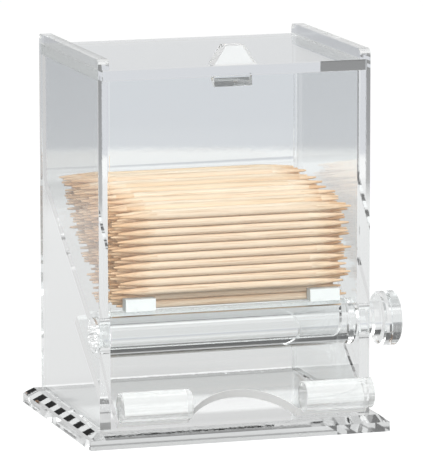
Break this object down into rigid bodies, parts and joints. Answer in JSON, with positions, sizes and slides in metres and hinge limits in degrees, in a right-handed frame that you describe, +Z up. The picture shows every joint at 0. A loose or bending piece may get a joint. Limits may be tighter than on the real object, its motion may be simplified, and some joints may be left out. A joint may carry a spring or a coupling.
{
  "type": "toothpick dispenser",
  "caption": "Clear acrylic toothpick box with a sliding lid; turning the slotted roller's side knob drops a toothpick down a chute onto two front rods.",
  "frame": {"origin": "middle of the base plate's flat underside, which is the surface the dispenser stands on", "axes": "+Z up, the front with the chute and the two rods faces -Y, the roller and its knob run along +X"},
  "size_m": [0.0898, 0.077, 0.1066],
  "materials": {
    "clear_acrylic": "clear, polished, refractive index about 1.49",
    "toothpick_wood": "unfinished birch, smooth"
  },
  "bodies": {
    "case": {"base_plate": "clear_acrylic", "left_side_panel": "clear_acrylic", "right_side_panel": "clear_acrylic", "front_panel": "clear_acrylic", "back_sheet": "clear_acrylic", "chute_plate": "clear_acrylic", "guide_block_left": "clear_acrylic", "guide_block_right": "clear_acrylic", "rest_rod_left": "clear_acrylic", "rest_rod_right": "clear_acrylic", "toothpick_layer_01": "toothpick_wood", "toothpick_layer_02": "toothpick_wood", "toothpick_layer_03": "toothpick_wood", "toothpick_layer_04": "toothpick_wood", "toothpick_layer_05": "toothpick_wood", "toothpick_layer_06": "toothpick_wood", "toothpick_layer_07": "toothpick_wood", "toothpick_layer_08": "toothpick_wood", "toothpick_layer_09": "toothpick_wood", "toothpick_layer_10": "toothpick_wood", "toothpick_layer_11": "toothpick_wood", "toothpick_layer_12": "toothpick_wood", "toothpick_layer_13": "toothpick_wood", "toothpick_layer_14": "toothpick_wood"},
    "lid": {"lid_plate": "clear_acrylic", "lid_pull": "clear_acrylic", "lid_catch": "clear_acrylic"},
    "roller": {"roller": "clear_acrylic", "roller_knob": "clear_acrylic"}
  },
  "joints": [
    {"name": "roller_spin", "type": "hinge", "parent": "case", "child": "roller", "pos_m": [0, -0.02215, 0.029], "axis": [1, 0, 0], "continuous": true},
    {"name": "lid_slide", "type": "slide", "parent": "case", "child": "lid", "axis": [0, 1, 0], "range_m": [0, 0.048]}
  ]
}
